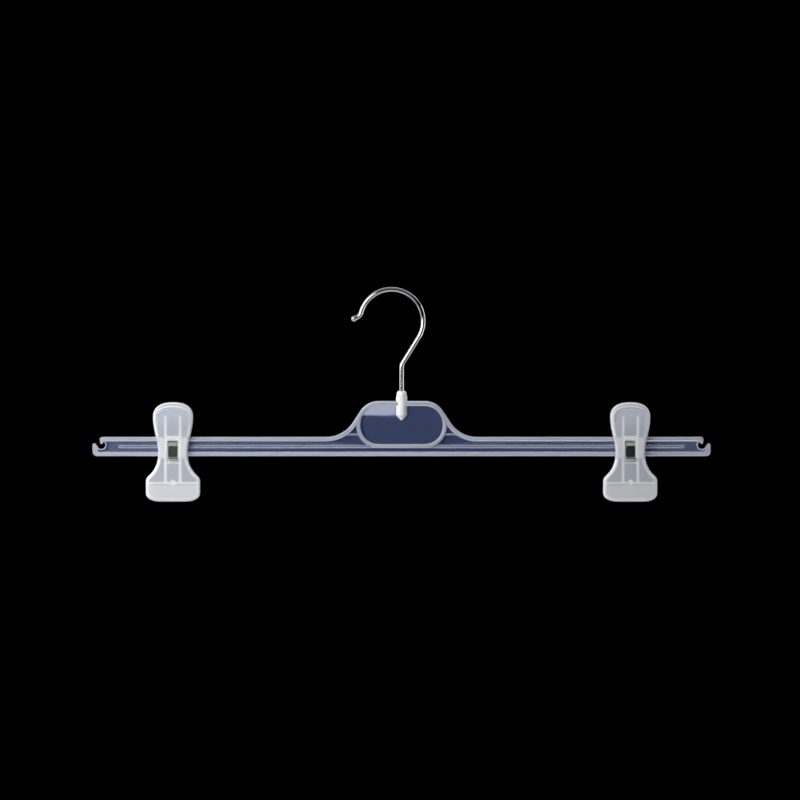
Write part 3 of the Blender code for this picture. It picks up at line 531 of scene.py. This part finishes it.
def make_bush(material):
    """The white sleeve with its domed neck, pressed into the boss."""
    shape = []
    for x, z in arc((0, 0), 1, QUARTER, 0, math.radians(10)):
        shape.append((NECK_RADIUS + (BUSH_RIM - NECK_RADIUS) * x, BUSH_TOP + BUSH_DOME * z))
    shape += [(SLEEVE_RADIUS, BUSH_TOP), (SLEEVE_RADIUS, BUSH_END), (STEM_BORE, BUSH_END)]
    shape.append((STEM_BORE, BUSH_TOP + BUSH_DOME))
    bush = turned("hook_sleeve", shape, closed=True)
    bush.data.transform(Matrix.Translation((0, 0, -BAR_DROP)))
    smooth(bush)
    return dress(bush, material, "natural_nylon", "hanger", "hook_bush")


def hook_path():
    """The middle line of the wire, from its head in the boss to its tip."""
    inside = HOOK_RADIUS - WIRE_RADIUS
    centre = (-HOOK_OFFSET, -math.sqrt(inside**2 - HOOK_OFFSET**2))
    sine, cosine = math.sin(HOOK_HEEL_ANGLE), math.cos(HOOK_HEEL_ANGLE)
    straight = (centre[0] + HOOK_RADIUS * cosine) / sine
    bend_z = centre[1] - HOOK_RADIUS * sine - straight * cosine
    neck = (BEND_RADIUS, bend_z - BEND_RADIUS * math.tan(HOOK_HEEL_ANGLE / 2))
    fine = math.radians(3)
    path = [(0, BUSH_END - BAR_DROP - HEAD_GAP - HEAD_HEIGHT / 2)]
    path += arc(neck, BEND_RADIUS, math.pi, math.pi - HOOK_HEEL_ANGLE, fine)
    path += arc(centre, HOOK_RADIUS, -HOOK_HEEL_ANGLE, HOOK_NOSE_ANGLE, fine)
    reach = HOOK_RADIUS + BEND_RADIUS
    nose_x = centre[0] + reach * math.cos(HOOK_NOSE_ANGLE)
    nose = (nose_x, centre[1] + reach * math.sin(HOOK_NOSE_ANGLE))
    first = HOOK_NOSE_ANGLE - math.pi
    last = first - NOSE_TURN
    bend = arc(nose, BEND_RADIUS, first, last, fine)
    path += bend[1:]
    end = (bend[-1][0] + NOSE_LENGTH * math.sin(last), bend[-1][1] - NOSE_LENGTH * math.cos(last))
    return path + [end]


def make_hook(material):
    """The bent wire with the ball at its tip and the head that keeps it in the boss."""
    path = hook_path()
    curve = bpy.data.curves.new("wire", "CURVE")
    curve.dimensions = "3D"
    curve.bevel_depth = WIRE_RADIUS
    curve.bevel_resolution = 8
    curve.use_fill_caps = True
    spline = curve.splines.new("POLY")
    spline.points.add(len(path) - 1)
    for point, (x, z) in zip(spline.points, path):
        point.co = (x, 0, z, 1)
    guide = bpy.data.objects.new("wire", curve)
    bpy.context.scene.collection.objects.link(guide)
    graph = bpy.context.evaluated_depsgraph_get()
    mesh = bpy.data.meshes.new_from_object(guide.evaluated_get(graph))
    bpy.data.objects.remove(guide)
    work = bmesh.new()
    work.from_mesh(mesh)
    bmesh.ops.remove_doubles(work, verts=work.verts, dist=MERGE_DISTANCE)
    bmesh.ops.recalc_face_normals(work, faces=work.faces)
    hook = made("wire_hook", work)
    half_round = arc((0, 0), 1, QUARTER, -QUARTER)
    ball = turned("ball", [(BALL_RADIUS * x, BALL_RADIUS * z) for x, z in half_round])
    ball.data.transform(Matrix.Translation((path[-1][0], 0, path[-1][1])))
    low, high = path[0][1] - HEAD_HEIGHT / 2, path[0][1] + HEAD_HEIGHT / 2
    inner = HEAD_RADIUS - HEAD_EDGE
    shape = [(0, high), (inner, high), (HEAD_RADIUS, high - HEAD_EDGE)]
    shape += [(HEAD_RADIUS, low + HEAD_EDGE), (inner, low), (0, low)]
    head = turned("head", shape)
    combine(hook, [ball, head], "UNION")
    smooth(hook, 40)
    return dress(hook, material, "polished_steel", "hook", "hook")


def remeshed(name, node, voxel, boxes=(), shape=None):
    """A finer copy of a clip's solid about its hinge, with boxes added, its edges softened and
    its points moved by a shape."""
    thing = bpy.data.objects.new(name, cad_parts[node].data.copy())
    bpy.context.scene.collection.objects.link(thing)
    thing.data.transform(Matrix.Translation((CLIP_X, 0, -HINGE_Z)))
    work = bmesh.new()
    work.from_mesh(thing.data)
    bmesh.ops.remove_doubles(work, verts=work.verts, dist=MERGE_DISTANCE)
    for low, high in boxes:
        low, high = Vector(low), Vector(high)
        place = Matrix.LocRotScale((low + high) / 2, None, high - low)
        bmesh.ops.create_cube(work, size=1, matrix=place)
    work.to_mesh(thing.data)
    work.free()
    fine = thing.modifiers.new("fine", "REMESH")
    fine.mode = "VOXEL"
    fine.voxel_size = voxel
    soft = thing.modifiers.new("soft", "SMOOTH")
    soft.factor = 0.5
    soft.iterations = SOFTENING_PASSES
    apply_modifiers(thing)
    if shape:
        normals = [vertex.normal.copy() for vertex in thing.data.vertices]
        for vertex, normal in zip(thing.data.vertices, normals):
            vertex.co += shape(vertex.co, normal)
    thing.data.shade_smooth()
    return thing


def ridge_share(point):
    """1 on the crest of a curved ridge across the handle's top, 0 beside the ridges."""
    rise = max(0, point.z - HANDLE_WIDEST_RISE)
    share = 0
    for side, top in RIDGE_INSETS:
        across = abs(point.x) / (HANDLE_WIDTH / 2 - side)
        up = rise / (HANDLE_RISE - HANDLE_WIDEST_RISE - top)
        level = (across**HANDLE_ROUNDNESS + up**HANDLE_ROUNDNESS) ** (1 / HANDLE_ROUNDNESS)
        gap = abs(level - 1) * math.hypot(point.x, rise) / max(level, 0.001)
        share = max(share, ease(RIDGE_WIDTH / 2 - gap, 0, RIDGE_WIDTH / 2))
    return share


def grip_ridges(point, normal):
    """Moves the points of the handle's outer face out to the ridges."""
    fade = ease(point.z, RIDGE_START, HANDLE_WIDEST_RISE) * ease(-normal.y, 0.6, 0.9)
    return Vector((0, -RIDGE_HEIGHT * ridge_share(point) * fade, 0))


def shell_haze_and_painted_light(point, depth):
    """The pad fills the jaw, the bar shows pale behind the waist, the rim of the spring's slot and
    the gate mark are made whiter as a painted highlight, and the grooves between the ridges are
    made clearer as painted shade."""
    if point.z < PAD_TOP:
        return max(depth, PAD_HAZE)
    # Painted highlight: the gate mark and the rim of the spring's slot are made whiter than their
    # plastic
    in_mark = math.hypot(point.x, point.z - GATE_MARK_Z) < GATE_MARK_RADIUS
    beside = abs(point.x) < SLOT_WIDTH / 2 + SLOT_FRAME
    if in_mark or (beside and SEAT_BOTTOM < point.z < SLOT_TOP + SLOT_FRAME):
        return max(depth, RIM_PAINTED_HIGHLIGHT)
    # Painted shade: the grooves between the ridges are made clearer than their plastic
    groove_shade = (1 - ridge_share(point)) * ease(point.z, HANDLE_WIDEST_RISE, GROOVE_END)
    waist_top = ease(-point.z, WAIST_TOP_START, WAIST_TOP_END)
    waist = ease(point.z, SEAT_BOTTOM, SLOT_BOTTOM) * waist_top
    return max(min(depth, 1 - GROOVE_PAINTED_SHADE * groove_shade), WAIST_HAZE * waist)


def add_thickness(mesh, domain, haze, passes=0):
    """How much plastic is behind each face or point, from 0 to 1, the way the mould opens, or
    sideways for a side wall. The haze function has the last word for a place, and at some places
    it paints light and shade."""
    points = [v.co.copy() for v in mesh.vertices]
    tree = BVHTree.FromPolygons(points, [tuple(p.vertices) for p in mesh.polygons])
    if domain == "FACE":
        starts = [(p.center.copy(), p.normal.copy()) for p in mesh.polygons]
    else:
        starts = [(v.co.copy(), v.normal.copy()) for v in mesh.vertices]
    nudges = [Vector(RAY_SPREAD) * i for i in (-1, 0, 1)]
    depth = np.ones(len(starts))
    for i, (point, normal) in enumerate(starts):
        inwards = -normal
        if abs(normal.y) > SIDE_WALL_SLOPE:
            inwards = Vector((0, -math.copysign(1, normal.y), 0))
        start = point - normal * RAY_START
        hits = [tree.ray_cast(start + nudge, inwards, RAY_REACH)[3] for nudge in nudges]
        found = [hit / RAY_REACH for hit in hits if hit is not None]
        depth[i] = haze(point, min(found, default=1))
    ends = np.empty(2 * len(mesh.edges), dtype=np.int32)
    mesh.edges.foreach_get("vertices", ends)
    ends = np.concatenate((ends.reshape(-1, 2), ends.reshape(-1, 2)[:, ::-1]))
    for _ in range(passes):
        total = depth + np.bincount(ends[:, 0], depth[ends[:, 1]], len(depth))
        depth = total / (1 + np.bincount(ends[:, 0], minlength=len(depth)))
    attribute = mesh.attributes.new("thickness", "FLOAT", domain)
    attribute.data.foreach_set("value", depth.astype(np.float32))


def make_springs(side_name, side, material):
    """Each spring cut at its middle plane into a front and a rear leg with softened edges, in its
    solid's place.
    """
    node = side_name + "_spring"
    x = side * CLIP_X
    for half, facing in (("front", -1), ("rear", 1)):
        name = side_name + "_" + half + "_spring_leg"
        leg = bpy.data.objects.new(name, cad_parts[node].data.copy())
        bpy.context.scene.collection.objects.link(leg)
        work = bmesh.new()
        work.from_mesh(leg.data)
        bmesh.ops.remove_doubles(work, verts=work.verts, dist=MERGE_DISTANCE)
        geometry = work.verts[:] + work.edges[:] + work.faces[:]
        bmesh.ops.bisect_plane(
            work, geom=geometry, plane_co=(x, 0, 0), plane_no=(0, -facing, 0), clear_outer=True
        )
        bmesh.ops.holes_fill(work, edges=[e for e in work.edges if e.is_boundary])
        bmesh.ops.recalc_face_normals(work, faces=work.faces)
        work.to_mesh(leg.data)
        work.free()
        bevel = leg.modifiers.new("edges", "BEVEL")
        bevel.width = STRIP_EDGE
        bevel.segments = 2
        bevel.angle_limit = math.radians(50)
        apply_modifiers(leg)
        smooth(leg, 40)
        dress(leg, material, "spring_steel", None, node)
        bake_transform(leg)


def make_clips(shell_material, pad_material, spring_material):
    """Both clips from one moulded half and one pad, with a lip across the top of the slot."""
    lip = (
        (-SLOT_WIDTH / 2 - SLOT_LIP / 2, HOLD - FACE_DEPTH, SLOT_TOP - SLOT_LIP),
        (SLOT_WIDTH / 2 + SLOT_LIP / 2, SHELL_FACE - FACE_DEPTH, SLOT_TOP + SLOT_LIP / 2),
    )
    shell = remeshed("half", "left_front_shell", SHELL_VOXEL, [lip], grip_ridges)
    add_thickness(shell.data, "POINT", shell_haze_and_painted_light, 2)
    pad = remeshed("pad", "left_front_pad", PAD_VOXEL)
    for side_name, side in (("left", -1), ("right", 1)):
        for facing, turn in (("front", 0), ("rear", math.pi)):
            body = side_name + "_" + facing + "_jaw"
            for template, word, material, slot in (
                (shell, "shell", shell_material, "frosted_propylene"),
                (pad, "pad", pad_material, "soft_pad"),
            ):
                node = side_name + "_" + facing + "_" + word
                piece = bpy.data.objects.new(node + "_moulded", template.data)
                bpy.context.scene.collection.objects.link(piece)
                piece.location = (side * CLIP_X, 0, HINGE_Z)
                piece.rotation_euler = (0, 0, turn)
                dress(piece, material, slot, body, node)
        make_springs(side_name, side, spring_material)
    bpy.data.objects.remove(shell)
    bpy.data.objects.remove(pad)


# Studio


def soft_light(name, place, target, width, height, power, colour=(1, 1, 1)):
    light = bpy.data.lights.new(name, "AREA")
    light.shape = "RECTANGLE"
    light.size, light.size_y = width, height
    light.energy = power
    light.color = colour
    thing = bpy.data.objects.new(name, light)
    bpy.context.scene.collection.objects.link(thing)
    thing.location = place
    thing.rotation_euler = (Vector(target) - Vector(place)).to_track_quat("-Z", "Y").to_euler()
    thing.visible_camera = False


def make_studio():
    """Black surroundings, soft lights about the hanger and a pale floor far below it."""
    scene = bpy.context.scene
    world = bpy.data.worlds.new("studio")
    scene.world = world
    world.use_nodes = True
    world.node_tree.nodes["Background"].inputs["Color"].default_value = (0, 0, 0, 1)
    scene.view_settings.view_transform = "Standard"
    middle = (0, 0, HINGE_Z)
    cool = (0.93, 0.95, 1.0)
    soft_light("key_left", (-0.64, -0.64, 0.29), middle, 0.7, 0.7, 11.0)
    soft_light("fill_right", (1.1, -1.2, -0.3), middle, 0.9, 0.9, 0.9)
    soft_light("overhead", (0, -0.55, 0.85), middle, 1.6, 0.5, 1.2)
    soft_light("back_top", (0, 1.1, 0.72), middle, 2.4, 0.8, 12, cool)
    soft_light("back_low", (0, 1.1, -0.74), middle, 2.4, 0.5, 1.5, cool)
    soft_light("side_left", (-1.1, 0.5, -0.05), middle, 0.7, 1.2, 6)
    soft_light("side_right", (1.1, 0.5, -0.05), middle, 0.7, 1.2, 7.5)
    soft_light("small_panel", (-0.027, -5.06, -0.060), (-0.027, 0, -0.060), 0.042, 0.058, 0.037)
    work = bmesh.new()
    bmesh.ops.create_circle(work, cap_ends=True, segments=96, radius=FLOOR_RADIUS)
    floor = made("floor", work)
    floor.location = (0, 0, FLOOR_Z)
    g = Graph("floor_paint")
    tint = g.colours(g.noise(6, 3), (0.3, (0.64, 0.64, 0.65)), (0.7, (0.68, 0.68, 0.69)))
    rough = g.span(g.noise(40, 3), 0.75, 0.85)
    floor.data.materials.append(g.use(Base_Color=tint, Roughness=rough))
    soft_light("floor_wash", (0, 0, -0.45), (0, 0.001, FLOOR_Z), 5, 5, 24)


def make_camera():
    """Level and straight on, with the photograph's frame at the hanger's middle plane."""
    wide = PHOTO_PIXELS * METRES_PER_PIXEL
    data = bpy.data.cameras.new("camera")
    data.lens = CAMERA_LENS
    camera = bpy.data.objects.new("camera", data)
    bpy.context.scene.collection.objects.link(camera)
    camera.location = (CAMERA_X, -wide * data.lens / data.sensor_width, CAMERA_Z)
    camera.rotation_euler = (QUARTER, 0, 0)
    bpy.context.scene.camera = camera


make_moulding(clear_styrene())
make_bush(natural_nylon())
make_hook(polished_steel())
make_clips(frosted_propylene(), soft_pad(), spring_steel())
make_studio()
make_camera()
